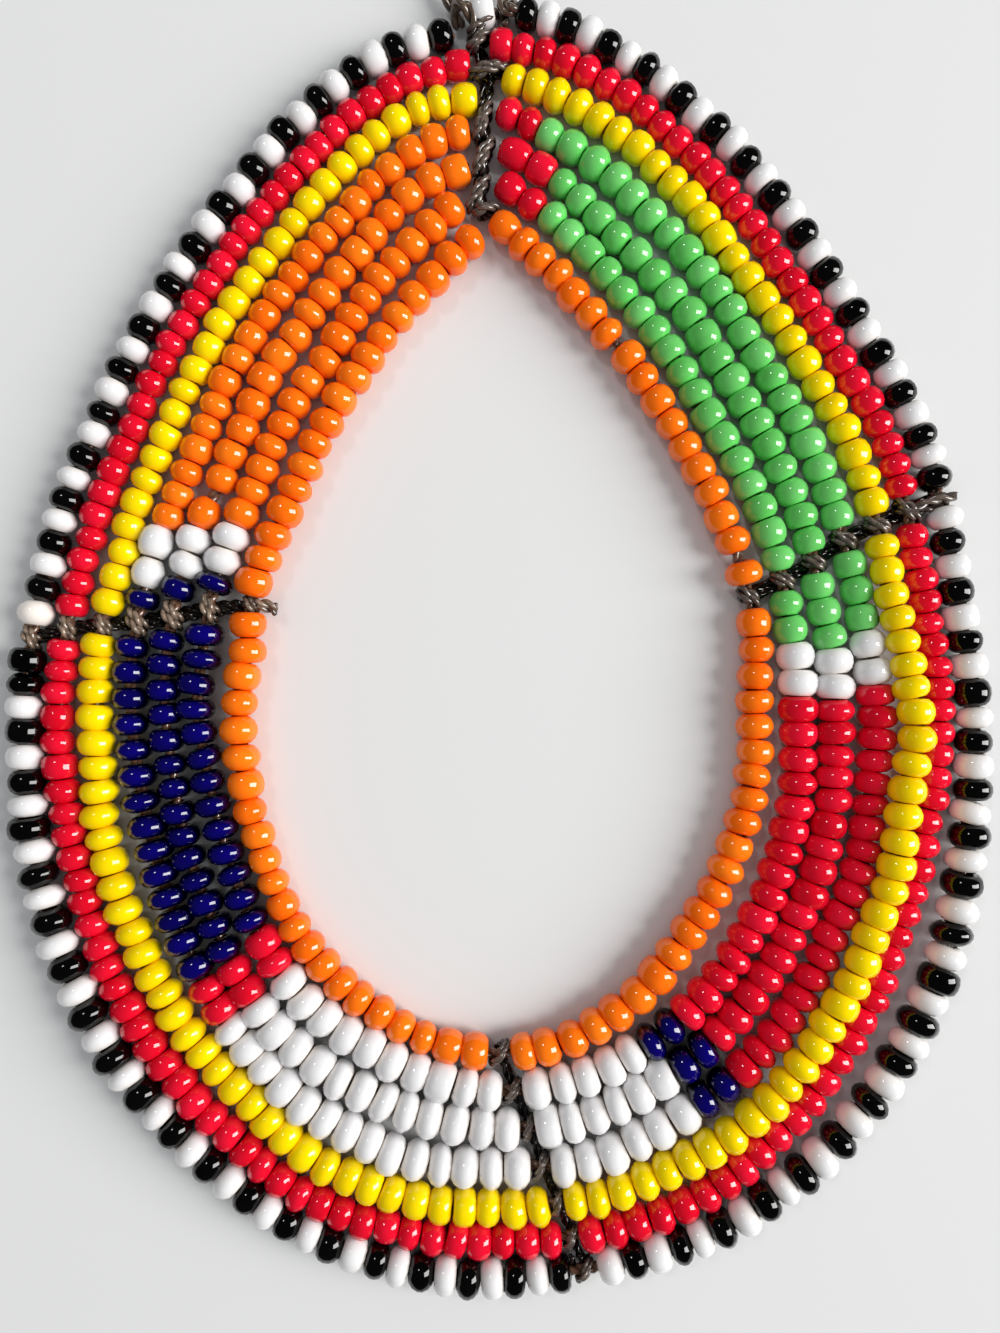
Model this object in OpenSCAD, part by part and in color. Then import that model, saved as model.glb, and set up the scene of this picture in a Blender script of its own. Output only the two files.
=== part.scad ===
// A small beaded collar in the Maasai manner, lying flat: seven strings of seed beads side by side
// in a teardrop, tied across at four lashings, with a thread loop at the apex to hang it by.
// +Z is up, +Y points at the apex, and the collar lies on Z 0 with the origin under its middle.

/* [Beads] */
// Widest diameter of a seed bead, and so the height of a string
bead_d = 2.4; // [2.3:0.05:2.5]
// Width of a string across its row, where the rims of its beads nest between those of the next
row_w = 2.1; // [1.9:0.05:2.1]
// Gap between two strings of different colour that follow each other in a row
block_gap = 0.15; // [0.12:0.01:0.2]

/* [Lashings] */
// Diameter of the thread wound on the left, bottom and right of the collar
wrap_d = 1.8; // [1.2:0.1:1.8]
// Clearance between a winding and the beads on either side of it
wrap_gap = 0.16; // [0.12:0.01:0.2]
// Chamfer on the ends of a winding
wrap_chamfer = 0.2; // [0.1:0.05:0.25]

/* [Hanging loop] */
// Diameter of the doubled thread of the loop
loop_d = 0.9; // [0.7:0.05:0.9]

/* [Hidden] */

// Where the strings run, as radii about a point in the opening. The angle starts left of the apex and
// goes anticlockwise, by the left, the bottom and the right, to the right of the apex. The last column
// is how far the fifth row rides up on the sixth.
// angle, row 1, row 2, row 3, row 4, row 5, row 6, row 7, lift of row 5
ROUTE = [
    [92, 29.3, 31.8, 34.0, 36.4, 38.6, 41.1, 43.6, 0],
    [96, 28.1, 31.1, 33.6, 36.0, 38.5, 40.8, 43.0, 0],
    [100, 26.4, 29.7, 32.8, 35.4, 38.0, 40.3, 42.6, 0],
    [105, 25.0, 28.2, 31.2, 33.9, 36.5, 39.0, 41.4, 0],
    [110, 23.5, 26.6, 29.5, 32.2, 34.9, 37.4, 39.9, 0],
    [120, 21.2, 23.9, 26.8, 29.6, 32.1, 34.6, 37.0, 0],
    [130, 19.6, 22.5, 25.2, 27.7, 30.1, 32.4, 34.8, 0],
    [140, 18.4, 21.1, 23.6, 26.2, 28.6, 31.0, 33.3, 0],
    [150, 17.8, 20.5, 22.8, 25.2, 27.6, 29.9, 32.2, 0],
    [160, 17.7, 20.4, 22.8, 25.1, 27.4, 29.8, 32.1, 0],
    [170, 17.7, 20.5, 22.9, 25.2, 27.4, 29.8, 32.1, 0],
    [180, 17.7, 20.8, 23.3, 25.7, 28.1, 30.5, 32.9, 0],
    [190, 18.4, 21.5, 23.8, 26.2, 28.7, 31.3, 33.7, 0],
    [200, 19.3, 22.0, 24.4, 26.8, 29.8, 32.3, 35.0, 0],
    [210, 20.4, 22.9, 25.6, 27.9, 31.2, 33.6, 36.3, 0],
    [220, 21.8, 24.3, 27.0, 29.5, 32.6, 35.3, 38.0, 0],
    [230, 23.5, 26.1, 28.9, 31.4, 34.3, 37.0, 39.6, 0],
    [240, 25.1, 27.8, 30.8, 33.3, 35.9, 38.7, 41.2, 0],
    [250, 26.5, 29.0, 32.0, 34.9, 37.8, 40.5, 42.8, 0],
    [260, 27.7, 30.1, 32.8, 36.0, 38.8, 41.3, 43.7, 0],
    [270, 28.2, 30.8, 33.4, 36.1, 39.1, 41.5, 44.0, 0],
    [280, 27.6, 30.3, 33.1, 36.0, 38.8, 41.4, 43.8, 0],
    [290, 26.2, 29.4, 31.9, 34.9, 38.0, 40.7, 43.2, 0.5],
    [300, 24.3, 28.0, 30.8, 33.7, 36.6, 38.9, 42.1, 1.0],
    [310, 22.7, 26.5, 29.2, 32.2, 34.6, 36.8, 40.6, 1.3],
    [320, 21.4, 25.0, 27.7, 30.4, 32.7, 34.8, 38.7, 1.4],
    [330, 20.1, 23.6, 26.3, 29.1, 31.2, 33.1, 36.7, 1.5],
    [340, 18.9, 22.1, 24.8, 27.5, 29.6, 31.7, 34.7, 1.4],
    [350, 18.0, 21.1, 23.7, 26.6, 28.9, 30.9, 33.4, 1.4],
    [360, 17.9, 20.6, 23.1, 25.6, 27.8, 30.0, 32.5, 1.1],
    [370, 17.8, 20.3, 22.7, 25.1, 27.4, 29.8, 32.1, 0.8],
    [380, 17.8, 20.5, 22.9, 25.3, 27.7, 30.1, 32.5, 0.3],
    [390, 18.1, 20.7, 23.2, 25.8, 28.3, 30.8, 33.1, 0],
    [400, 18.6, 21.2, 23.8, 26.4, 28.9, 31.3, 33.7, 0],
    [410, 19.5, 22.1, 24.9, 27.6, 30.1, 32.6, 35.0, 0],
    [420, 21.0, 23.9, 26.7, 29.5, 32.2, 34.8, 37.4, 0],
    [430, 23.1, 26.1, 29.0, 31.9, 34.9, 37.5, 40.0, 0],
    [435, 24.4, 27.5, 30.2, 33.4, 36.4, 39.1, 41.5, 0],
    [440, 26.0, 29.2, 32.0, 34.9, 37.8, 40.5, 42.9, 0],
    [445, 27.8, 31.0, 33.7, 36.4, 39.1, 41.7, 44.1, 0],
    [450, 29.9, 32.7, 35.2, 37.7, 40.1, 42.4, 44.7, 0],
    [453, 31.3, 33.7, 36.3, 38.8, 41.0, 42.6, 44.7, 0],
];

// The angles at which each row's four strings start and end, one line for each row
// start, left lashing from, to, bottom lashing from, to, right lashing from, to, end
ARCS = [
    [92.8, 167.8, 171.4, 268.3, 271.6, 369.3, 375.1, 450.9],
    [95.1, 169.1, 174.5, 270.3, 273.0, 371.8, 375.8, 450.1],
    [93.8, 171.5, 176.4, 272.4, 274.3, 373.8, 377.3, 449.9],
    [93.3, 173.6, 177.5, 273.4, 275.6, 375.8, 379.6, 450.2],
    [92.4, 174.9, 177.7, 275.1, 276.6, 376.8, 379.8, 449.7],
    [92.9, 175.5, 178.6, 276.0, 277.7, 377.1, 380.7, 450.9],
    [94.4, 177.0, 179.8, 276.5, 279.0, 378.0, 380.1, 448.6],
];
// The one bead at the apex of the seventh row, between the two feet of the loop
APEX_BEAD = [450.5, 452.7];

// The angles at which each colour ends on rows 2, 3 and 4, one line for each row
// orange, white, navy, two red, white, two navy, red, white, green
BLOCKS = [
    [154.8, 164.8, 228.9, 235.7, 289.5, 296.0, 351.2, 361.5, 444.5],
    [158.0, 167.0, 228.9, 234.9, 292.3, 298.4, 351.6, 360.3, 443.7],
    [160.0, 170.1, 227.7, 233.3, 293.1, 298.8, 354.8, 363.1, 445.6],
];
FIRST_BLOCK_ROW = 2;

// The loop from foot to foot, about the same point as ROUTE: x, y and the height of its middle
LOOP = [
    [-2.6, 42.9, 1.2], [-2.8, 43.9, 1.2], [-3.4, 45.2, 1.1], [-4.0, 46.4, 0.8], [-3.5, 47.7, 0.6],
    [-2.0, 48.4, 0.5], [-0.5, 48.0, 0.6], [0.3, 46.8, 0.8], [0.4, 45.4, 1.1], [0.3, 44.0, 1.2],
    [0.3, 43.7, 1.2],
];

// The knots of the lashing at the apex, between the two ends of each row but the last, whose ends hold
// the feet of the loop: x, y and diameter
KNOTS = [
    [-1.3, 30.6, 0.8], [-1.3, 32.0, 1.1], [-1.1, 34.4, 1.1],
    [-1.1, 37.0, 0.9], [-0.7, 39.3, 1.0], [-1.4, 41.8, 0.8],
];

ROWS = 7;
LIFT_COLUMN = 8;
LIFTED_ROW = 5;
SIDES = 8;
RING_STEP = 3.2;
MIDDLE = bead_d / 2;
NUDGE = 0.2;

// Cubic through the column's stations, with the slope at each one taken from its neighbours
function slope(i, column) =
    let (before = max(i - 1, 0), after = min(i + 1, len(ROUTE) - 1))
    (ROUTE[after][column] - ROUTE[before][column]) / (ROUTE[after][0] - ROUTE[before][0]);
function station(angle) = max([for (i = [0 : len(ROUTE) - 2]) if (i == 0 || ROUTE[i][0] <= angle) i]);
function cubic(a, b, slope_a, slope_b, t) =
    a * (2 * t - 3) * t * t + a + slope_a * t * (1 - t) * (1 - t)
    + b * (3 - 2 * t) * t * t - slope_b * t * t * (1 - t);
function reading(angle, column) =
    let (i = station(angle), span = ROUTE[i + 1][0] - ROUTE[i][0])
    cubic(ROUTE[i][column], ROUTE[i + 1][column], slope(i, column) * span, slope(i + 1, column) * span,
        (angle - ROUTE[i][0]) / span);

function row_point(row, angle) =
    let (r = reading(angle, row), lift = row == LIFTED_ROW ? reading(angle, LIFT_COLUMN) : 0)
    [r * cos(angle), r * sin(angle), MIDDLE + max(lift, 0)];
function unit(v) = v / norm(v);
function flat(v) = [v[0], v[1], 0];
function row_way(row, angle) = unit(flat(row_point(row, angle + NUDGE) - row_point(row, angle - NUDGE)));

// One octagonal ring about a point, flat side down, across the way that the string runs
function ring(at, way, width, height) =
    let (side = [way[1], -way[0], 0], reach = 0.5 / cos(180 / SIDES))
    [for (k = [0 : SIDES - 1])
        let (a = (k + 0.5) * 360 / SIDES)
        at + side * width * reach * cos(a) + [0, 0, height * reach * sin(a)]];
function string_rings(row, from, to) =
    let (count = max(2, ceil((to - from) * PI / 180 * reading((from + to) / 2, row) / RING_STEP) + 1))
    [for (i = [0 : count - 1])
        let (angle = from + (to - from) * i / (count - 1))
        ring(row_point(row, angle), row_way(row, angle), row_w, bead_d)];

function loop_way(i) =
    let (before = LOOP[max(i - 1, 0)], after = LOOP[min(i + 1, len(LOOP) - 1)])
    unit(flat(after - before));
function loop_rings() = [for (i = [0 : len(LOOP) - 1]) ring(LOOP[i], loop_way(i), loop_d, loop_d)];
function arcs(row) = let (a = ARCS[row - 1]) [for (i = [0 : 2 : 6]) [a[i], a[i + 1]]];

// The middle of everything, seen from above
outline = concat(
    [for (arc = arcs(ROWS)) for (r = string_rings(ROWS, arc[0], arc[1])) each r],
    [for (r = loop_rings()) each r]);
MID_X = (min([for (p = outline) p[0]]) + max([for (p = outline) p[0]])) / 2;
MID_Y = (min([for (p = outline) p[1]]) + max([for (p = outline) p[1]])) / 2;

module centred() {
    translate([-MID_X, -MID_Y, 0])
        children();
}

// A closed solid through a list of rings
module skin(rings) {
    last = len(rings) - 1;
    points = [for (r = rings) each r];
    sides = [for (i = [0 : last - 1]) for (k = [0 : SIDES - 1])
        let (a = i * SIDES + k, b = i * SIDES + (k + 1) % SIDES)
        [a, b, b + SIDES, a + SIDES]];
    first_cap = [for (k = [SIDES - 1 : -1 : 0]) k];
    last_cap = [for (k = [0 : SIDES - 1]) last * SIDES + k];
    polyhedron(points, concat(sides, [first_cap, last_cap]));
}

function degrees_of(row, angle, run) = run / reading(angle, row) * 180 / PI;

// The strings of one row that lie between two angles
module strings(row, from = 0, to = 500) {
    for (arc = arcs(row)) {
        a = max(arc[0], from + degrees_of(row, arc[0], block_gap / 2));
        b = min(arc[1], to - degrees_of(row, arc[1], block_gap / 2));
        if (b > a)
            skin(string_rings(row, a, b));
    }
}

// One colour across rows 2, 3 and 4: the block with this place in BLOCKS
module block(place) {
    for (i = [0 : len(BLOCKS) - 1])
        strings(FIRST_BLOCK_ROW + i, place == 0 ? 0 : BLOCKS[i][place - 1],
            place == len(BLOCKS[i]) ? 500 : BLOCKS[i][place]);
}

module inner_orange_row() { color("darkorange") centred() strings(1); }
module orange_block() { color("darkorange") centred() block(0); }
module left_white_block() { color("white") centred() block(1); }
module navy_block() { color("navy") centred() block(2); }
module red_pair_block() { color("crimson") centred() block(3); }
module bottom_white_block() { color("white") centred() block(4); }
module navy_pair_block() { color("navy") centred() block(5); }
module right_red_block() { color("crimson") centred() block(6); }
module right_white_block() { color("white") centred() block(7); }
module green_block() { color("lightgreen") centred() block(8); }
module top_red_block() { color("crimson") centred() block(9); }
module yellow_row() { color("gold") centred() strings(5); }
module outer_red_row() { color("crimson") centred() strings(6); }
module black_white_row() {
    color("dimgray") centred() {
        strings(7);
        skin(string_rings(7, APEX_BEAD[0], APEX_BEAD[1]));
    }
}

// Thread wound on the row's core thread, from one string's end to the next one's
module winding(from, to) {
    run = flat(to - from);
    long = norm(run) - 2 * wrap_gap;
    translate((from + to) / 2)
        rotate([0, 90, atan2(run[1], run[0])])
            rotate_extrude($fn = 24)
                polygon([[0, -long / 2], [wrap_d / 2 - wrap_chamfer, -long / 2],
                    [wrap_d / 2, wrap_chamfer - long / 2], [wrap_d / 2, long / 2 - wrap_chamfer],
                    [wrap_d / 2 - wrap_chamfer, long / 2], [0, long / 2]]);
}

// The lashing between the strings that end and start at these places in ARCS
module lashing(ends, starts) {
    color("rosybrown") centred()
        for (row = [1 : ROWS])
            winding(row_point(row, ARCS[row - 1][ends]), row_point(row, ARCS[row - 1][starts]));
}

module left_lashing() { lashing(1, 2); }
module bottom_lashing() { lashing(3, 4); }
module right_lashing() { lashing(5, 6); }

module top_lashing() {
    color("rosybrown") centred()
        for (knot = KNOTS)
            translate([knot[0], knot[1], MIDDLE])
                sphere(d = knot[2], $fn = 24);
}

module hanging_loop() { color("rosybrown") centred() skin(loop_rings()); }

inner_orange_row();
top_red_block();
green_block();
right_white_block();
right_red_block();
navy_pair_block();
bottom_white_block();
red_pair_block();
navy_block();
left_white_block();
orange_block();
yellow_row();
outer_red_row();
black_white_row();
top_lashing();
left_lashing();
bottom_lashing();
right_lashing();
hanging_loop();
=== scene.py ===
# A small beaded collar in the Maasai manner, lying flat on a plain pale floor.
# Sizes are in millimetres until a piece is finished, and in metres from there on.
import bmesh
import bpy
import math
import random
from mathutils import Matrix, Vector


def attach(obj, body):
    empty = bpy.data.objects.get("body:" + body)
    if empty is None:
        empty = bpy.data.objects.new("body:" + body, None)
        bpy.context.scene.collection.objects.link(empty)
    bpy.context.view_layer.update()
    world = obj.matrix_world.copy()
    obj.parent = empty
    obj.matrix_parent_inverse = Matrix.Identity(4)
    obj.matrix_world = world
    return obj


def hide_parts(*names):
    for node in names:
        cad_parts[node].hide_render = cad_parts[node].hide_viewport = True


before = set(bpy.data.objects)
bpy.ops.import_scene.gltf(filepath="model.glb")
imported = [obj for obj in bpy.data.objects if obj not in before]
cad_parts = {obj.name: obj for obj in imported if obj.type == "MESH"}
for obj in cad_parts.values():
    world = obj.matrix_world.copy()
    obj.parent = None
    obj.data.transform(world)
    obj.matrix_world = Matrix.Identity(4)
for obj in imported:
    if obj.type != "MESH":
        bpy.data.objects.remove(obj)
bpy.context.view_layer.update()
mm = 0.001

# The strings are laid out about a pole, a point in the opening
collar = {"poleX": 0.15, "poleY": -1.91, "beadDiameter": 2.4, "rows": 7, "liftedRow": 5}
pole = Vector((collar["poleX"], collar["poleY"], 0))

# Angle, radii of the seven strings about the pole, and how far the fifth string rides up on
# the sixth. The angle starts left of the apex and goes anticlockwise.
route = [
    (92, 29.3, 31.8, 34.0, 36.4, 38.6, 41.1, 43.6, 0),
    (96, 28.1, 31.1, 33.6, 36.0, 38.5, 40.8, 43.0, 0),
    (100, 26.4, 29.7, 32.8, 35.4, 38.0, 40.3, 42.6, 0),
    (105, 25.0, 28.2, 31.2, 33.9, 36.5, 39.0, 41.4, 0),
    (110, 23.5, 26.6, 29.5, 32.2, 34.9, 37.4, 39.9, 0),
    (120, 21.2, 23.9, 26.8, 29.6, 32.1, 34.6, 37.0, 0),
    (130, 19.6, 22.5, 25.2, 27.7, 30.1, 32.4, 34.8, 0),
    (140, 18.4, 21.1, 23.6, 26.2, 28.6, 31.0, 33.3, 0),
    (150, 17.8, 20.5, 22.8, 25.2, 27.6, 29.9, 32.2, 0),
    (160, 17.7, 20.4, 22.8, 25.1, 27.4, 29.8, 32.1, 0),
    (170, 17.7, 20.5, 22.9, 25.2, 27.4, 29.8, 32.1, 0),
    (180, 17.7, 20.8, 23.3, 25.7, 28.1, 30.5, 32.9, 0),
    (190, 18.4, 21.5, 23.8, 26.2, 28.7, 31.3, 33.7, 0),
    (200, 19.3, 22.0, 24.4, 26.8, 29.8, 32.3, 35.0, 0),
    (210, 20.4, 22.9, 25.6, 27.9, 31.2, 33.6, 36.3, 0),
    (220, 21.8, 24.3, 27.0, 29.5, 32.6, 35.3, 38.0, 0),
    (230, 23.5, 26.1, 28.9, 31.4, 34.3, 37.0, 39.6, 0),
    (240, 25.1, 27.8, 30.8, 33.3, 35.8, 38.6, 41.1, 0),
    (250, 26.5, 29.0, 32.0, 34.9, 37.7, 40.4, 42.7, 0.1),
    (260, 27.7, 30.1, 32.8, 36.0, 38.6, 41.1, 43.5, 0.2),
    (270, 28.2, 30.8, 33.4, 36.1, 38.7, 41.3, 43.8, 0.3),
    (280, 27.6, 30.3, 33.1, 36.0, 38.5, 41.2, 43.6, 0.4),
    (290, 26.2, 29.4, 31.9, 34.9, 37.6, 40.6, 43.1, 0.7),
    (300, 24.3, 28.0, 30.8, 33.7, 36.4, 38.9, 42.1, 1.0),
    (310, 22.7, 26.5, 29.2, 32.2, 34.4, 36.8, 40.6, 1.3),
    (320, 21.4, 25.0, 27.7, 30.4, 32.5, 34.8, 38.7, 1.4),
    (330, 20.1, 23.6, 26.3, 29.2, 31.0, 33.1, 36.7, 1.5),
    (340, 18.9, 22.1, 24.8, 27.65, 29.5, 31.8, 34.8, 1.5),
    (350, 18.0, 21.1, 23.7, 26.75, 28.9, 31.1, 33.6, 1.5),
    (360, 17.9, 20.6, 23.1, 25.75, 27.8, 30.2, 32.6, 1.2),
    (370, 17.8, 20.3, 22.7, 25.2, 27.3, 29.8, 32.1, 0.8),
    (380, 17.8, 20.5, 22.9, 25.3, 27.7, 30.1, 32.5, 0.3),
    (390, 18.1, 20.7, 23.2, 25.8, 28.3, 30.8, 33.1, 0),
    (400, 18.6, 21.2, 23.8, 26.4, 28.9, 31.3, 33.7, 0),
    (410, 19.5, 22.1, 24.9, 27.6, 30.1, 32.6, 35.0, 0),
    (420, 21.0, 23.9, 26.7, 29.5, 32.2, 34.8, 37.4, 0),
    (430, 23.1, 26.1, 29.0, 31.9, 34.9, 37.5, 40.0, 0),
    (435, 24.4, 27.5, 30.2, 33.4, 36.4, 39.1, 41.5, 0),
    (440, 26.0, 29.2, 32.0, 34.9, 37.8, 40.5, 42.9, 0),
    (445, 27.8, 31.0, 33.7, 36.4, 39.1, 41.7, 44.1, 0),
    (450, 29.9, 32.7, 35.2, 37.7, 40.1, 42.4, 44.7, 0),
    (453, 31.3, 33.7, 36.3, 38.8, 41.0, 42.6, 44.7, 0),
]
liftColumn = 8

# Where each row's four strings start and end: start, left lashing, bottom lashing, right lashing, end
stringEnds = {
    1: (92.8, 167.8, 171.4, 268.3, 271.6, 369.3, 375.1, 450.9),
    2: (95.1, 169.1, 174.5, 270.3, 273.0, 371.8, 375.8, 450.1),
    3: (93.8, 171.5, 176.4, 272.4, 274.3, 373.8, 377.3, 449.9),
    4: (93.3, 173.6, 177.5, 273.4, 275.6, 375.8, 379.6, 450.2),
    5: (92.4, 174.9, 177.7, 275.1, 276.6, 376.8, 379.8, 449.7),
    6: (92.9, 175.5, 178.6, 276.0, 277.7, 377.1, 380.7, 450.9),
    7: (94.4, 177.0, 179.8, 276.5, 279.0, 378.0, 380.1, 448.6),
}


def ease(a, b, leave, arrive, t):
    # cubic from a to b, with the slopes that it leaves and arrives with
    eased = t * t * (3 - 2 * t)
    return a + (b - a) * eased + leave * t * (1 - t) ** 2 - arrive * t * t * (1 - t)


def routeSlope(i, column):
    before = route[max(i - 1, 0)]
    after = route[min(i + 1, len(route) - 1)]
    return (after[column] - before[column]) / (after[0] - before[0])


def reading(angle, column):
    # what the route gives between the two stations on either side of the angle
    i = max(k for k in range(len(route) - 1) if k == 0 or route[k][0] <= angle)
    span = route[i + 1][0] - route[i][0]
    leave, arrive = routeSlope(i, column) * span, routeSlope(i + 1, column) * span
    return ease(route[i][column], route[i + 1][column], leave, arrive, (angle - route[i][0]) / span)


def wrapAngle(angle):
    return angle if angle <= route[-1][0] else angle - 360


def rowPoint(row, angle):
    radius = reading(angle, row)
    lift = max(reading(angle, liftColumn), 0) if row == collar["liftedRow"] else 0
    turn = math.radians(angle)
    height = collar["beadDiameter"] / 2 + lift
    return pole + Vector((radius * math.cos(turn), radius * math.sin(turn), height))


def rowPath(row, start, end, step=0.25):
    # points along a row, one every step in degrees, with the length run to each
    count = max(2, round((end - start) / step))
    points = [rowPoint(row, start + (end - start) * k / count) for k in range(count + 1)]
    lengths = [0.0]
    for a, b in zip(points, points[1:]):
        lengths.append(lengths[-1] + (b - a).length)
    return points, lengths


def alongPath(path, distance):
    # the point at a distance along the path, and the way that the path runs there
    points, lengths = path
    distance = min(max(distance, 0), lengths[-1])
    k = max(i for i in range(len(points) - 1) if i == 0 or lengths[i] <= distance)
    way = (points[k + 1] - points[k]).normalized()
    return points[k] + way * (distance - lengths[k]), way


# Bead shapes: along the hole and out from it, as shares of half the length and half the diameter
beadShapes = {
    "barrel": [(1.00, 0.42), (0.94, 0.67), (0.66, 0.88), (0.22, 0.99),
               (-0.22, 0.99), (-0.66, 0.88), (-0.94, 0.67), (-1.00, 0.42)],
    "round": [(1.00, 0.38), (0.91, 0.62), (0.60, 0.85), (0.19, 0.98),
              (-0.19, 0.98), (-0.60, 0.85), (-0.91, 0.62), (-1.00, 0.38)],
    "tapered": [(1.00, 0.38), (0.91, 0.62), (0.61, 0.85), (0.20, 0.97),
                (-0.24, 0.99), (-0.67, 0.91), (-0.94, 0.71), (-1.00, 0.43)],
    "straight": [(1.00, 0.46), (0.95, 0.73), (0.71, 0.92), (0.25, 1.00),
                 (-0.25, 1.00), (-0.71, 0.92), (-0.95, 0.73), (-1.00, 0.46)],
}
# How many beads of each shape are in the bag that they are drawn from
shapeCounts = {"barrel": 5, "round": 6, "tapered": 2, "straight": 1}
# The painted glow and shade in the grooves where beads meet is full up to one distance out from the
# hole, and fades over the next; some beads are strung the other way round
beadMaking = {"sides": 10, "merge": 0.001, "grooveShadingFull": 0.4, "grooveShadingFade": 0.55, "turnedShare": 0.5}


def meshFrom(name, bm):
    mesh = bpy.data.meshes.new(name)
    bm.to_mesh(mesh)
    bm.free()
    return mesh


def faceNumber(face, vertCount):
    corners = [vert.index for vert in face.verts]
    return min(corners) * vertCount + max(corners)


def makeBeadShape(name):
    # spins the profile round the hole's axis, bore included, and closes it
    bm = bmesh.new()
    stainAndGrooveShading = bm.verts.layers.float.new("stainAndGrooveShading")
    profile = beadShapes[name]
    verts = [bm.verts.new((along, 0, out)) for along, out in profile]
    for vert, (along, out) in zip(verts, profile):
        # painted glow and shade in the grooves between beads, full near the hole and fading outwards
        vert[stainAndGrooveShading] = max(0.0, 1 - (out - beadMaking["grooveShadingFull"]) / beadMaking["grooveShadingFade"])
    edges = [bm.edges.new((a, b)) for a, b in zip(verts, verts[1:] + verts[:1])]
    bmesh.ops.spin(
        bm, geom=verts + edges, cent=(0, 0, 0), axis=(1, 0, 0), dvec=(0, 0, 0),
        angle=2 * math.pi, steps=beadMaking["sides"], use_merge=True, use_duplicate=False)
    bmesh.ops.remove_doubles(bm, verts=bm.verts, dist=beadMaking["merge"])
    bmesh.ops.recalc_face_normals(bm, faces=bm.faces)
    for face in bm.faces:
        face.smooth = True
    # the spin leaves its faces in a chance order, so they are put in that of their vertices
    bm.verts.index_update()
    bm.faces.sort(key=lambda face: faceNumber(face, len(bm.verts)))
    return meshFrom("shape_" + name, bm)


shapeMeshes = {name: makeBeadShape(name) for name in beadShapes}
shapeBag = [name for name in beadShapes for _ in range(shapeCounts[name])]
print("bead shapes:", ", ".join(beadShapes))

# How strung beads depart from a perfect row
wander = {"side": 0.06, "mostSide": 0.12, "tilt": 4.0, "roll": 2.5, "diameter": 0.025, "length": 0.10}
# How thick beads are to fill the room between the strings beside them. The nearest point of such a
# string is looked for at these angles on either side.
packing = {"thinnest": 2.3, "thickest": 2.8, "snugTop": 0.98, "snugBottom": 1.06,
           "lookAt": range(-6, 7, 2)}


def beadRoom(row, angle):
    # the mean distance to the strings on either side
    here = rowPoint(row, angle)
    gaps = []
    for other in (row - 1, row + 1):
        if 1 <= other <= collar["rows"]:
            gaps.append(min((rowPoint(other, angle + turn) - here).length for turn in packing["lookAt"]))
    upward = (1 + math.sin(math.radians(angle))) / 2
    snug = packing["snugBottom"] + (packing["snugTop"] - packing["snugBottom"]) * upward
    room = sum(gaps) / len(gaps) * snug
    return min(max(room, packing["thinnest"]), packing["thickest"])


def stringBeads(row, start, end, lengths, fill, thick, chance):
    # the place of each bead of one string: a matrix that takes a bead shape to its place
    path = rowPath(row, start, end)
    shares = [length * (1 + chance.uniform(-1, 1) * wander["length"]) for length in lengths]
    room = path[1][-1] / sum(shares)
    places = []
    reached = 0.0
    for share in shares:
        pitch = share * room
        point, way = alongPath(path, reached + pitch / 2)
        reached += pitch
        angle = start + (end - start) * reached / path[1][-1]
        radius = beadRoom(row, angle) / 2 * thick * (1 + chance.uniform(-1, 1) * wander["diameter"])
        side = Vector((-way.y, way.x, 0)).normalized()
        up = way.cross(side)
        turn = Matrix((way, side, up)).transposed().to_4x4()
        tilt = Matrix.Rotation(math.radians(chance.gauss(0, 1) * wander["tilt"]), 4, "Z")
        nod = Matrix.Rotation(math.radians(chance.gauss(0, 1) * wander["roll"]), 4, "Y")
        spun = Matrix.Rotation(chance.uniform(0, 2 * math.pi), 4, "X")
        shift = max(-wander["mostSide"], min(wander["mostSide"], chance.gauss(0, 1) * wander["side"]))
        lower = Vector((0, 0, radius - collar["beadDiameter"] / 2))
        size = Matrix.Diagonal((pitch / 2 * fill, radius, radius, 1))
        at = Matrix.Translation(point + side * shift + lower)
        places.append(at @ turn @ tilt @ nod @ size @ spun)
    return places


def newBeadMesh():
    bm = bmesh.new()
    bm.verts.layers.float.new("tone")
    bm.verts.layers.float.new("stainAndGrooveShading")
    return bm


def addBead(bm, place, chance, soiled=0.0):
    # one bead of a chance shape, with a tone of its own
    first = len(bm.verts)
    bm.from_mesh(shapeMeshes[chance.choice(shapeBag)])
    bm.verts.ensure_lookup_table()
    verts = bm.verts[first:]
    if chance.random() < beadMaking["turnedShare"]:
        bmesh.ops.transform(bm, matrix=Matrix.Rotation(math.pi, 4, "Z"), verts=verts)
    bmesh.ops.transform(bm, matrix=place, verts=verts)
    toneLayer = bm.verts.layers.float["tone"]
    stainAndGrooveLayer = bm.verts.layers.float["stainAndGrooveShading"]
    tone = chance.random()
    for vert in verts:
        vert[toneLayer] = tone
        # a soiled bead's real stain shares the layer of the painted groove glow and shade
        vert[stainAndGrooveLayer] = max(vert[stainAndGrooveLayer], soiled)


def addObject(name, data):
    item = bpy.data.objects.new(name, data)
    bpy.context.scene.collection.objects.link(item)
    return item


def finishPiece(name, bm, material):
    # brings a piece from millimetres to metres and links it
    bmesh.ops.scale(bm, vec=(mm, mm, mm), verts=bm.verts)
    mesh = meshFrom(name, bm)
    mesh.materials.append(material)
    piece = addObject(name, mesh)
    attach(piece, "root")
    return piece


def newMaterial(name):
    material = bpy.data.materials.new(name)
    material.use_nodes = True
    nodes, links = material.node_tree.nodes, material.node_tree.links
    return material, nodes, links, nodes["Principled BSDF"]


def mixColours(nodes, links, factor, low, high):
    mix = nodes.new("ShaderNodeMix")
    mix.data_type = "RGBA"
    links.new(factor, mix.inputs["Factor"])
    for socket, value in ((mix.inputs["A"], low), (mix.inputs["B"], high)):
        if isinstance(value, tuple):
            socket.default_value = value + (1,)
        else:
            links.new(value, socket)
    return mix.outputs["Result"]


def addAttribute(nodes, name):
    attribute = nodes.new("ShaderNodeAttribute")
    attribute.attribute_name = name
    return attribute.outputs["Fac"]


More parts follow.
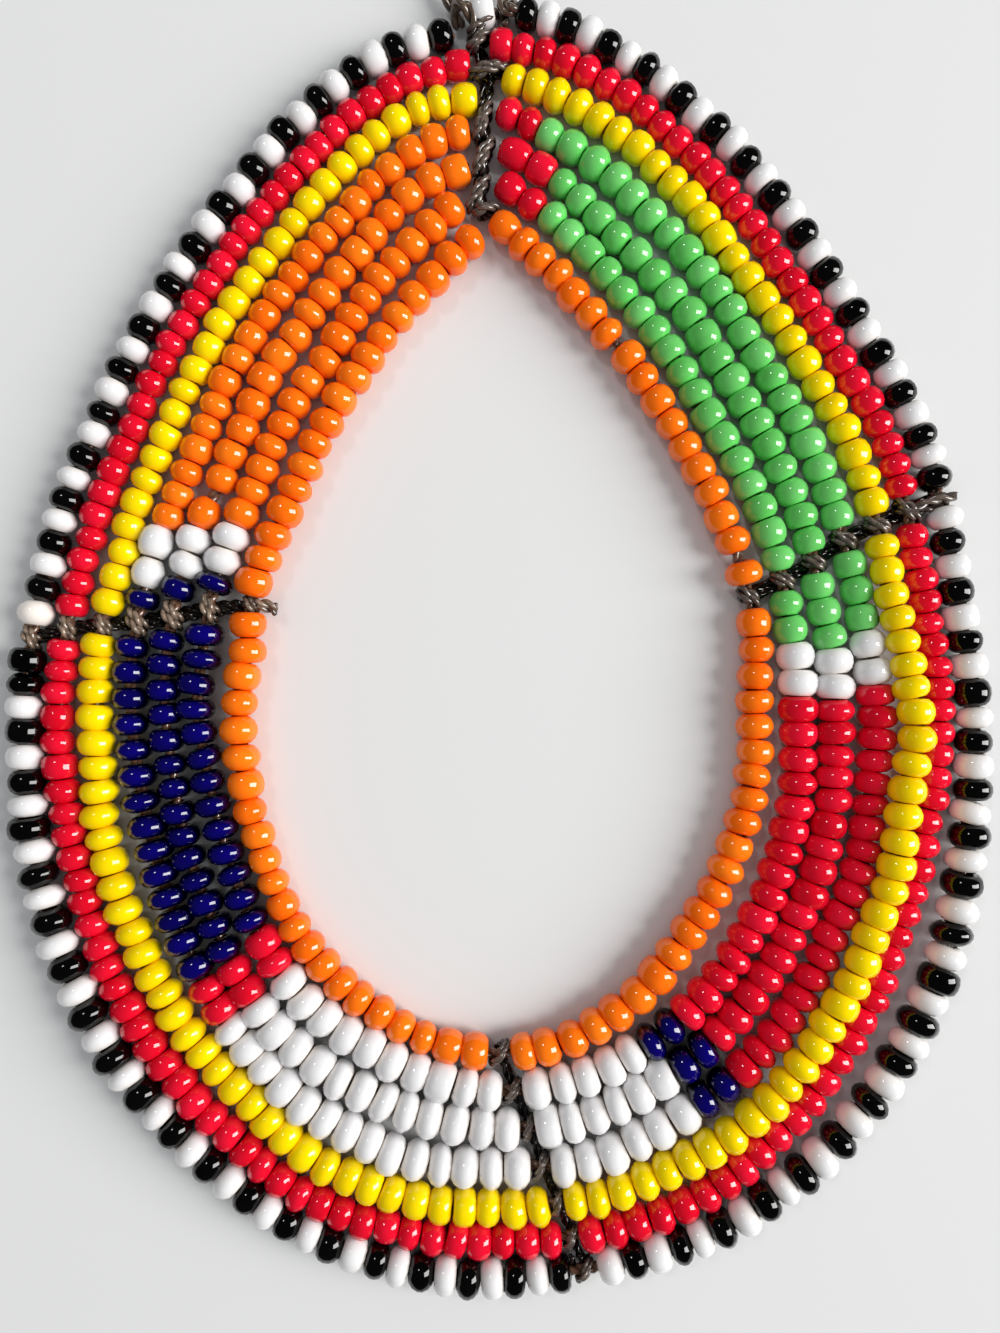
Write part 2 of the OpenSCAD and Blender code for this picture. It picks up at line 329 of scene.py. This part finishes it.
def addNoise(nodes, links, place, scale, detail):
    noise = nodes.new("ShaderNodeTexNoise")
    noise.inputs["Scale"].default_value = scale
    noise.inputs["Detail"].default_value = detail
    links.new(place.outputs["Object"], noise.inputs["Vector"])
    return noise.outputs["Fac"]


def addRange(nodes, links, value, low, high, start, end):
    # start where the value is low, end where it is high, and even in between
    change = nodes.new("ShaderNodeMapRange")
    change.inputs["From Min"].default_value = low
    change.inputs["From Max"].default_value = high
    change.inputs["To Min"].default_value = start
    change.inputs["To Max"].default_value = end
    links.new(value, change.inputs["Value"])
    return change.outputs["Result"]


def addBump(nodes, links, shader, height, strength, distance):
    bump = nodes.new("ShaderNodeBump")
    bump.inputs["Strength"].default_value = strength
    bump.inputs["Distance"].default_value = distance
    links.new(height, bump.inputs["Height"])
    links.new(bump.outputs["Normal"], shader.inputs["Normal"])


def beadGlass(name, look):
    # opaque glass: each bead's own tone and faint streaks from the drawn cane; towards the ends of the bead,
    # in the grooves where beads meet, a painted glow and shade, which also carries a soiled bead's real
    # stain;
    # where a colour sets it, painted shade makes the flanks darker than the top
    material, nodes, links, shader = newMaterial(name)
    place = nodes.new("ShaderNodeTexCoord")
    body = mixColours(nodes, links, addAttribute(nodes, "tone"), look["deep"], look["pale"])
    streaks = addNoise(nodes, links, place, look["streakScale"], look["streakDetail"])
    patches = addRange(nodes, links, streaks, look["streakFrom"], look["streakTo"], 0, look["streaks"])
    body = mixColours(nodes, links, patches, body, look["streak"])
    # painted glow and shade in the grooves where beads meet, and a soiled bead's real stain
    ends = addRange(nodes, links, addAttribute(nodes, "stainAndGrooveShading"), 0, 1, 0, look["stainAndGrooveShare"])
    body = mixColours(nodes, links, ends, body, look["stainAndGrooveShading"])
    surface = nodes.new("ShaderNodeNewGeometry")
    facing = nodes.new("ShaderNodeSeparateXYZ")
    links.new(surface.outputs["Normal"], facing.inputs["Vector"])
    upward = facing.outputs["Z"]
    # painted shade: the flanks are darker than the top, by how far the surface faces up
    flankShadeMix = addRange(nodes, links, upward, look["flankFrom"], look["flankTo"], look["paintedFlankShare"], 0)
    body = mixColours(nodes, links, flankShadeMix, body, look["paintedFlankShade"])
    links.new(body, shader.inputs["Base Color"])
    shader.inputs["Roughness"].default_value = look["roughness"]
    shader.inputs["IOR"].default_value = look["ior"]
    ripple = addNoise(nodes, links, place, look["rippleScale"], look["rippleDetail"])
    addBump(nodes, links, shader, ripple, look["ripple"], look["rippleDepth"])
    return material


# What all the glass has in common, unless a colour says otherwise
# painted flank shade stays off unless a colour sets its share
plainGlass = {
    "streakScale": 900, "streakDetail": 3, "streakFrom": 0.35, "streakTo": 0.75, "streaks": 0.35,
    "stainAndGrooveShare": 0.75, "paintedFlankShade": (0.0, 0.0, 0.004), "flankFrom": 0.4, "flankTo": 0.9, "paintedFlankShare": 0.0,
    "roughness": 0.035, "ior": 1.58,
    "rippleScale": 700, "rippleDetail": 2, "ripple": 0.03, "rippleDepth": 0.0001}
# Each colour's groove colour is both the real stain of a soiled bead and painted light in the grooves where
# beads meet: a brighter painted glow in the light glasses, painted shade in the navy
glassLooks = {
    "orange": {"deep": (0.90, 0.125, 0.002), "pale": (0.98, 0.185, 0.006), "streak": (0.99, 0.24, 0.01),
               "stainAndGrooveShading": (0.95, 0.10, 0.0)},
    "yellow": {"deep": (0.86, 0.60, 0.0), "pale": (0.95, 0.70, 0.0), "streak": (0.97, 0.76, 0.005),
               "stainAndGrooveShading": (0.95, 0.52, 0.0)},
    "red": {"deep": (0.60, 0.002, 0.014), "pale": (0.79, 0.006, 0.030), "streak": (0.83, 0.011, 0.045),
            "stainAndGrooveShading": (0.80, 0.0, 0.01)},
    # navy: its flanks are painted darker than its top, as painted shade
    "navy": {"deep": (0.001, 0.0, 0.07), "pale": (0.002, 0.0, 0.125), "streak": (0.003, 0.001, 0.17),
             "stainAndGrooveShading": (0.0, 0.0, 0.06), "paintedFlankShare": 1.0},
    "green": {"deep": (0.10, 0.46, 0.09), "pale": (0.16, 0.58, 0.15), "streak": (0.20, 0.64, 0.19),
              "stainAndGrooveShading": (0.12, 0.80, 0.12)},
    "white": {"deep": (0.72, 0.715, 0.727), "pale": (0.785, 0.78, 0.787), "streak": (0.815, 0.81, 0.81),
              "stainAndGrooveShading": (0.90, 0.80, 0.70)},
    "black": {"deep": (0.0, 0.0, 0.0), "pale": (0.001, 0.001, 0.001), "streak": (0.002, 0.002, 0.002),
              "stainAndGrooveShading": (0.0, 0.0, 0.0), "ior": 1.48},
}
glass = {name: beadGlass("glass_" + name, {**plainGlass, **look}) for name, look in glassLooks.items()}
print("glass:", ", ".join(glass))


def beadPiece(settings):
    # every string of one colour as one piece, in place of its node
    chance = random.Random(settings["seed"])
    bm = newBeadMesh()
    beads = 0
    for row, start, end, count in settings["strings"]:
        lengths = [1] * count if isinstance(count, int) else count
        for place in stringBeads(row, start, end, lengths, settings["fill"], settings["thick"], chance):
            addBead(bm, place, chance)
            beads += 1
    piece = finishPiece(settings["name"], bm, glass[settings["glass"]])
    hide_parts(settings["node"])
    print(settings["name"], beads, "beads")


# Each string: row, angle that it starts at, angle that it ends at, beads or the lengths of its beads
innerOrange = {
    "name": "innerOrangeBeads", "node": "inner_orange_row", "glass": "orange",
    "seed": 11, "fill": 1.01, "thick": 0.98,
    "strings": [(1, 92.8, 167.8, 17), (1, 171.4, 268.3, 22), (1, 271.6, 369.3, 22),
                (1, 375.1, 380.3, 1), (1, 382.3, 428.4, 9), (1, 429.5, 450.9, (1, 1, 1, 1, 1, 0.9, 1.35))]}
beadPiece(innerOrange)

orangeBlock = {
    "name": "orangeBlockBeads", "node": "orange_block", "glass": "orange",
    "seed": 12, "fill": 1.01, "thick": 0.99,
    "strings": [(2, 95.1, 154.8, 16), (3, 93.8, 150.8, 16), (3, 152.4, 158.0, 1), (4, 93.3, 160.0, 21)]}
beadPiece(orangeBlock)

leftWhite = {
    "name": "leftWhiteBeads", "node": "left_white_block", "glass": "white",
    "seed": 13, "fill": 1.0, "thick": 1.04,
    "strings": [(2, 154.8, 164.8, 2), (3, 158.0, 167.0, 2), (4, 160.0, 170.1, 2)]}
beadPiece(leftWhite)

navyBlock = {
    "name": "navyBlockBeads", "node": "navy_block", "glass": "navy",
    "seed": 14, "fill": 0.88, "thick": 1.03,
    "strings": [(2, 164.8, 169.1, 1), (2, 174.5, 228.9, 13), (3, 167.0, 171.5, 1),
                (3, 176.4, 228.9, 14), (4, 170.1, 173.6, 1), (4, 177.5, 227.7, 14)]}
beadPiece(navyBlock)

redPair = {
    "name": "redPairBeads", "node": "red_pair_block", "glass": "red",
    "seed": 15, "fill": 1.01, "thick": 1.02,
    "strings": [(2, 228.9, 235.7, 2), (3, 228.9, 234.9, 2), (4, 227.7, 233.3, 2)]}
beadPiece(redPair)

bottomWhite = {
    "name": "bottomWhiteBeads", "node": "bottom_white_block", "glass": "white",
    "seed": 16, "fill": 1.0, "thick": 1.08,
    "strings": [(2, 235.7, 270.3, 10), (2, 273.0, 289.5, 5), (3, 234.9, 272.4, 12),
                (3, 274.3, 292.3, 6), (4, 233.3, 273.4, 14), (4, 275.6, 293.1, 6)]}
beadPiece(bottomWhite)

navyPair = {
    "name": "navyPairBeads", "node": "navy_pair_block", "glass": "navy",
    "seed": 17, "fill": 0.94, "thick": 1.0,
    "strings": [(2, 289.5, 296.0, 2), (3, 292.3, 298.4, 2), (4, 293.1, 298.8, 2)]}
beadPiece(navyPair)

rightRed = {
    "name": "rightRedBeads", "node": "right_red_block", "glass": "red",
    "seed": 18, "fill": 1.01, "thick": 1.01,
    "strings": [(2, 296.0, 351.2, 15), (3, 298.4, 351.6, 16), (4, 298.8, 354.8, 19)]}
beadPiece(rightRed)

rightWhite = {
    "name": "rightWhiteBeads", "node": "right_white_block", "glass": "white",
    "seed": 19, "fill": 1.0, "thick": 1.06,
    "strings": [(2, 351.2, 361.5, 2), (3, 351.6, 360.3, 2), (4, 354.8, 363.1, 2)]}
beadPiece(rightWhite)

greenBlock = {
    "name": "greenBlockBeads", "node": "green_block", "glass": "green",
    "seed": 20, "fill": 0.99, "thick": 0.98,
    "strings": [(2, 361.5, 371.8, 2), (2, 375.8, 444.5, 17), (3, 360.3, 373.8, 3),
                (3, 377.3, 443.7, 18), (4, 363.1, 375.8, 3), (4, 379.6, 445.6, 20)]}
beadPiece(greenBlock)

topRed = {
    "name": "topRedBeads", "node": "top_red_block", "glass": "red",
    "seed": 21, "fill": 1.01, "thick": 0.99,
    "strings": [(2, 444.5, 450.1, 2), (3, 443.7, 449.9, 2), (4, 445.6, 450.2, 2)]}
beadPiece(topRed)

yellowRow = {
    "name": "yellowBeads", "node": "yellow_row", "glass": "yellow",
    "seed": 22, "fill": 1.01, "thick": 0.99,
    "strings": [(5, 92.4, 174.9, 27), (5, 177.7, 275.1, 35), (5, 276.6, 376.8, 34), (5, 379.8, 449.7, 24)]}
beadPiece(yellowRow)

outerRed = {
    "name": "outerRedBeads", "node": "outer_red_row", "glass": "red",
    "seed": 23, "fill": 1.01, "thick": 0.96,
    "strings": [(6, 92.9, 175.5, 31), (6, 178.6, 276.0, 39), (6, 277.7, 377.1, 38), (6, 380.7, 450.9, 28)]}
beadPiece(outerRed)

# The outer string has beads of both colours, one letter each: the letter's glass, length and soiling
outerRow = {
    "node": "black_white_row", "seed": 24, "fill": 1.0, "thick": 1.05,
    "strings": [(94.4, 177.0, "BW" * 15 + "BS"), (179.8, 276.5, "BB" + "WB" * 19),
                (279.0, 378.0, "WB" * 15 + "WL" + "WB" * 3 + "W"), (380.1, 448.6, "BW" * 14 + "B"),
                (450.5, 452.7, "W")],
    "pieces": {"black": "outerBlackBeads", "white": "outerWhiteBeads"},
    "letters": {"B": ("black", 1, 0), "L": ("black", 1.25, 0), "W": ("white", 1, 0), "S": ("white", 1, 0.8)}}


def outerRowPieces(settings):
    chance = random.Random(settings["seed"])
    meshes = {colour: newBeadMesh() for colour in settings["pieces"]}
    for start, end, letters in settings["strings"]:
        beads = [settings["letters"][letter] for letter in letters]
        lengths = [length for colour, length, soiled in beads]
        row = collar["rows"]
        places = stringBeads(row, start, end, lengths, settings["fill"], settings["thick"], chance)
        for place, (colour, length, soiled) in zip(places, beads):
            addBead(meshes[colour], place, chance, soiled)
    for colour, name in settings["pieces"].items():
        piece = finishPiece(name, meshes[colour], glass[colour])
        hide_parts(settings["node"])
        print(name, "done")


outerRowPieces(outerRow)


def threadMaterial(name, look):
    # waxed thread: painted shade where it lies low and painted light where it stands up, broken up by the
    # fibres
    material, nodes, links, shader = newMaterial(name)
    place = nodes.new("ShaderNodeTexCoord")
    fibres = addNoise(nodes, links, place, look["fibreScale"], look["fibreDetail"])
    parts = nodes.new("ShaderNodeSeparateXYZ")
    links.new(place.outputs["Object"], parts.inputs["Vector"])
    # painted shade low down and painted light high up, by height
    height = addRange(nodes, links, parts.outputs["Z"], look["paintedShadeAt"], look["paintedLightAt"], 0, 1)
    paintedLit = nodes.new("ShaderNodeMath")
    paintedLit.operation = "MULTIPLY"
    links.new(fibres, paintedLit.inputs[0])
    links.new(height, paintedLit.inputs[1])
    body = mixColours(nodes, links, paintedLit.outputs["Value"], look["dark"], look["light"])
    links.new(body, shader.inputs["Base Color"])
    shader.inputs["Roughness"].default_value = look["roughness"]
    shader.inputs["IOR"].default_value = look["ior"]
    addBump(nodes, links, shader, fibres, look["fibreBump"], look["fibreDepth"])
    return material


# What all the thread has in common, and the looks of its several stretches. Its painted shade and
# painted light are set at heights in metres.
plainThread = {
    "fibreScale": 2200, "fibreDetail": 2, "fibreBump": 0.2, "fibreDepth": 0.00006,
    "roughness": 0.13, "ior": 1.75}
threadLooks = {
    "core": {"dark": (0.03, 0.014, 0.009), "light": (0.26, 0.13, 0.08), "paintedShadeAt": 0.0, "paintedLightAt": 0.0016},
    "dark": {"dark": (0.003, 0.002, 0.002), "light": (0.26, 0.20, 0.165), "paintedShadeAt": 0.0013, "paintedLightAt": 0.0021},
    # the left lashing's paler thread, painted lighter where it stands up
    "paintedLit": {"dark": (0.006, 0.004, 0.003), "light": (0.50, 0.36, 0.26), "paintedShadeAt": 0.0012, "paintedLightAt": 0.0020},
    "loop": {"dark": (0.006, 0.004, 0.003), "light": (0.20, 0.14, 0.10), "paintedShadeAt": -0.001, "paintedLightAt": 0.0014}}
threads = {name: threadMaterial("thread_" + name, {**plainThread, **look})
           for name, look in threadLooks.items()}

# Every thread is laid from plies. How far out they wind and how thick they are is given as shares
# of the thread's radius.
laying = {"plies": 2, "plyOut": 0.5, "plyRadius": 0.58, "bevelSteps": 1, "merge": 0.0001, "leastMove": 1e-9}


def smoothRoute(points, step):
    # close points along a spline through the route's own ones
    fine = []
    for k, (a, b) in enumerate(zip(points, points[1:])):
        before = points[max(k - 1, 0)]
        after = points[min(k + 2, len(points) - 1)]
        leave, arrive = (b - before) / 2, (after - a) / 2
        pieces = max(1, math.ceil((b - a).length / step))
        fine += [ease(a, b, leave, arrive, j / pieces) for j in range(pieces)]
    return fine + [points[-1]]


def newThreads(diameter):
    data = bpy.data.curves.new("threads", "CURVE")
    data.dimensions = "3D"
    data.bevel_depth = diameter / 2 * laying["plyRadius"]
    data.bevel_resolution = laying["bevelSteps"]
    data.use_fill_caps = True
    return data


def addThread(data, points, diameter, twist, phase=0.0):
    # plies that wind round the route, each one a spline of the curve
    out = diameter / 2 * laying["plyOut"]
    way = (points[1] - points[0]).normalized()
    side = way.orthogonal().normalized()
    frames = []
    run = 0.0
    for k, point in enumerate(points):
        ahead = points[min(k + 1, len(points) - 1)] - points[max(k - 1, 0)]
        if ahead.length > laying["leastMove"]:
            ahead.normalize()
            side = (side - ahead * side.dot(ahead)).normalized()
            way = ahead
        if k:
            run += (point - points[k - 1]).length
        frames.append((point, side.copy(), way.cross(side), run))
    for ply in range(laying["plies"]):
        spline = data.splines.new("POLY")
        spline.points.add(len(points) - 1)
        for target, (point, across, over, run) in zip(spline.points, frames):
            turn = phase + 2 * math.pi * (ply / laying["plies"] + run / twist)
            at = point + (across * math.cos(turn) + over * math.sin(turn)) * out
            target.co = (at.x, at.y, at.z, 1)


def finishThreads(name, data, look, nodes=()):
    holder = addObject(name + "Curve", data)
    bpy.context.view_layer.update()
    mesh = bpy.data.meshes.new_from_object(holder)
    bpy.data.objects.remove(holder)
    bm = bmesh.new()
    bm.from_mesh(mesh)
    bmesh.ops.remove_doubles(bm, verts=bm.verts, dist=laying["merge"])
    bmesh.ops.recalc_face_normals(bm, faces=bm.faces)
    for face in bm.faces:
        face.smooth = True
    piece = finishPiece(name, bm, threads[look])
    if nodes:
        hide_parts(*nodes)
    print(name, len(piece.data.polygons), "faces")


# The core thread that each row is strung on, round the whole collar. The step is in degrees.
coreThreads = {"diameter": 0.80, "step": 2.0, "fineStep": 0.35, "twist": 1.8}


def coreThreadPiece(settings):
    data = newThreads(settings["diameter"])
    for row, ends in stringEnds.items():
        path = rowPath(row, ends[0], ends[-1], settings["step"])
        points = smoothRoute(path[0], settings["fineStep"])
        addThread(data, points, settings["diameter"], settings["twist"], phase=row)
    finishThreads("coreThreads", data, "core")


coreThreadPiece(coreThreads)

# What all four lashings have in common. Radii and depths are drawn between two shares and two shifts.
lashing = {"turnSteps": 12, "turnStep": 0.14, "spineStep": 0.2, "leastRoom": 0.2,
           "wobble": 0.02, "radiusShares": (0.9, 1.1), "depthShifts": (-0.15, 0.15)}


def turnPoints(middle, along, slant, radius, chance):
    # one turn round a row's core, from the underside to the underside, that slants over the top
    side = Vector((-along.y, along.x, 0)).normalized()
    points = []
    for k in range(lashing["turnSteps"] + 1):
        turn = 2 * math.pi * k / lashing["turnSteps"]
        at = middle - along * slant / 2 * math.sin(turn)
        at -= (side * math.sin(turn) + Vector((0, 0, 1)) * math.cos(turn)) * radius
        points.append(at + Vector([chance.gauss(0, lashing["wobble"]) for _ in range(3)]))
    return points


def lashingPiece(settings):
    # strands that each take a turn round every row's core and run on to the next row below the turns
    chance = random.Random(settings["seed"])
    diameter, twist = settings["diameter"], settings["twist"]
    data = newThreads(diameter)
    for strand, share in enumerate(settings["strands"]):
        way = []
        for row, (start, end) in enumerate(settings["gaps"], start=1):
            a, b = rowPoint(row, start), rowPoint(row, end)
            along = (b - a).normalized()
            room = max(lashing["leastRoom"], min((b - a).length - diameter, settings["widest"]))
            middle = a.lerp(b, 0.5) + along * room * share
            radius = settings["radius"] * settings["slim"][row - 1] * chance.uniform(*lashing["radiusShares"])
            way += turnPoints(middle, along, room * settings["slant"], radius, chance)
        addThread(data, smoothRoute(way, lashing["turnStep"]), diameter, twist, phase=strand)
    for offset in settings["spine"]:
        # the thread that runs from row to row under the turns
        way = []
        for row, (start, end) in enumerate(settings["gaps"], start=1):
            across = rowPoint(row, start).lerp(rowPoint(row, end), 0.5 + offset)
            way.append(across - Vector((0, 0, settings["depth"] + chance.uniform(*lashing["depthShifts"]))))
        addThread(data, smoothRoute(way, lashing["spineStep"]), diameter, twist, phase=offset)
    for tail in settings["tails"]:
        points = smoothRoute([pole + Vector(p) for p in tail], lashing["turnStep"])
        addThread(data, points, diameter, twist)
    finishThreads(settings["name"], data, settings["look"], [settings["node"]])


leftLashing = {
    "name": "leftLashingThread", "node": "left_lashing", "seed": 31, "look": "paintedLit",
    "strands": (-0.26, 0.26), "spine": (0.0,), "depth": 0.45, "diameter": 0.62, "twist": 1.7,
    "widest": 1.2, "slant": 0.75, "radius": 0.52, "slim": (0.7, 1.0, 1.1, 1.1, 0.9, 1.0, 0.9),
    "gaps": [(ends[1], ends[2]) for ends in stringEnds.values()],
    "tails": [[(-16.9, 3.3, 1.7), (-16.2, 3.2, 1.6), (-15.6, 3.0, 1.3)],
              [(-16.9, 3.0, 1.5), (-16.2, 2.9, 1.3), (-15.7, 2.6, 1.1)]]}
lashingPiece(leftLashing)

bottomLashing = {
    "name": "bottomLashingThread", "node": "bottom_lashing", "seed": 32, "look": "dark",
    "strands": (-0.1, 0.1), "spine": (0.0,), "depth": 0.55, "diameter": 0.50, "twist": 2.0,
    "widest": 1.0, "slant": 0.9, "radius": 0.74, "slim": (1.0, 1.0, 1.0, 1.0, 0.9, 0.9, 0.8),
    "gaps": [(ends[3], ends[4]) for ends in stringEnds.values()],
    "tails": [[(5.0, -42.4, 1.2), (5.1, -43.3, 1.0), (5.0, -44.0, 0.7)],
              [(5.6, -42.4, 1.2), (5.9, -43.4, 0.9), (5.9, -44.1, 0.6)]]}
lashingPiece(bottomLashing)

rightLashing = {
    "name": "rightLashingThread", "node": "right_lashing", "seed": 33, "look": "dark",
    "strands": (-0.22, 0.22), "spine": (-0.15, 0.15), "depth": 0.6, "diameter": 0.66, "twist": 2.3,
    "widest": 1.35, "slant": 0.8, "radius": 0.58, "slim": (0.9, 1.0, 1.0, 1.0, 1.0, 0.9, 0.7),
    "gaps": [(ends[5], ends[6]) for ends in stringEnds.values()],
    "tails": [[(28.4, 9.6, 1.6), (29.8, 10.3, 1.9), (31.7, 10.7, 1.7)],
              [(28.4, 9.4, 1.4), (29.8, 9.8, 1.4), (31.4, 10.1, 1.2)]]}
lashingPiece(rightLashing)

topLashing = {
    "name": "topLashingThread", "node": "top_lashing", "seed": 34, "look": "dark",
    "strands": (-0.1, 0.24), "spine": (0.05,), "depth": 0.7, "diameter": 0.62, "twist": 1.9,
    "widest": 1.5, "slant": 1.15, "radius": 0.6, "slim": (1.0, 1.0, 1.1, 1.1, 1.0, 0.9, 0.8),
    "gaps": [(ends[7], wrapAngle(360 + ends[0])) for ends in stringEnds.values()],
    "tails": []}
lashingPiece(topLashing)

# The loop at the apex, with a turn of its thread at either foot
hangingLoop = {
    "diameter": 0.86, "twist": 3.2, "step": 0.2,
    "route": [(-2.0, 42.6, 0.8), (-1.8, 43.6, 1.3), (-2.4, 44.6, 2.0), (-3.2, 44.9, 1.3), (-2.9, 44.0, 0.7),
              (-3.0, 44.8, 0.7), (-3.7, 45.8, 0.9), (-4.1, 46.8, 0.8), (-3.5, 47.9, 0.6), (-2.0, 48.5, 0.6),
              (-0.5, 48.2, 0.6), (0.3, 47.0, 0.7), (0.4, 45.8, 0.9), (0.2, 44.9, 1.6), (0.8, 44.3, 1.9),
              (1.2, 44.8, 1.2), (0.7, 45.4, 0.7), (0.3, 44.6, 0.7), (0.3, 43.7, 1.0)]}


def hangingLoopPiece(settings):
    data = newThreads(settings["diameter"])
    points = smoothRoute([pole + Vector(p) for p in settings["route"]], settings["step"])
    addThread(data, points, settings["diameter"], settings["twist"])
    finishThreads("hangingLoopThread", data, "loop", ["hanging_loop"])


hangingLoopPiece(hangingLoop)

# The floor that the collar lies on
floorLook = {"size": 8.0, "colour": (0.70, 0.705, 0.705), "roughness": 0.75}


def makeFloor(settings):
    bm = bmesh.new()
    bmesh.ops.create_grid(bm, x_segments=1, y_segments=1, size=settings["size"] / 2)
    mesh = meshFrom("floor", bm)
    material, nodes, links, shader = newMaterial("floor_plain")
    shader.inputs["Base Color"].default_value = settings["colour"] + (1,)
    shader.inputs["Roughness"].default_value = settings["roughness"]
    mesh.materials.append(material)
    addObject("floor", mesh)


makeFloor(floorLook)

# The photograph's frame: its middle from the pole, its height, and how far the camera is above the
# middle of the beads. The clip distances are in metres.
camera = {"middle": (0.0, -1.155), "frameHeight": 93.31, "distance": 70.0, "sensor": 36.0,
          "clipStart": 0.001, "clipEnd": 10}


def makeCamera(settings):
    data = bpy.data.cameras.new("camera")
    data.sensor_width = settings["sensor"]
    data.lens = settings["sensor"] / settings["frameHeight"] * settings["distance"]
    data.clip_start = settings["clipStart"]
    data.clip_end = settings["clipEnd"]
    item = addObject("camera", data)
    height = collar["beadDiameter"] / 2 + settings["distance"]
    item.location = (pole + Vector(settings["middle"] + (height,))) * mm
    bpy.context.scene.camera = item


makeCamera(camera)

# A tall window on the right, a small lamp at the upper left, and a room that lights more than it mirrors
lighting = {
    "window": {"at": (0.92, -0.03, 0.58), "size": (0.45, 0.84), "power": 16.0, "colour": (1.0, 0.99, 0.97)},
    "lamp": {"at": (-0.16, 0.24, 0.42), "size": (0.07, 0.07), "power": 0.25, "colour": (1.0, 1.0, 1.0)},
    "room": {"colour": (0.96, 0.975, 1.0), "strength": 0.40, "mirrored": 0.04}}


def makeLight(name, look):
    data = bpy.data.lights.new(name, "AREA")
    data.shape = "RECTANGLE"
    data.size, data.size_y = look["size"]
    data.energy = look["power"]
    data.color = look["colour"]
    item = addObject(name, data)
    item.location = look["at"]
    item.rotation_mode = "QUATERNION"
    item.rotation_quaternion = Vector(look["at"]).to_track_quat("Z", "Y")


def makeRoom(look):
    world = bpy.data.worlds.new("room")
    world.use_nodes = True
    nodes, links = world.node_tree.nodes, world.node_tree.links
    ray = nodes.new("ShaderNodeLightPath")
    mirrored = ray.outputs["Is Glossy Ray"]
    strength = addRange(nodes, links, mirrored, 0, 1, look["strength"], look["mirrored"])
    background = nodes["Background"]
    background.inputs["Color"].default_value = look["colour"] + (1,)
    links.new(strength, background.inputs["Strength"])
    bpy.context.scene.world = world
    bpy.context.scene.view_settings.view_transform = "Standard"


makeLight("window", lighting["window"])
makeLight("lamp", lighting["lamp"])
makeRoom(lighting["room"])
print("lights and camera")
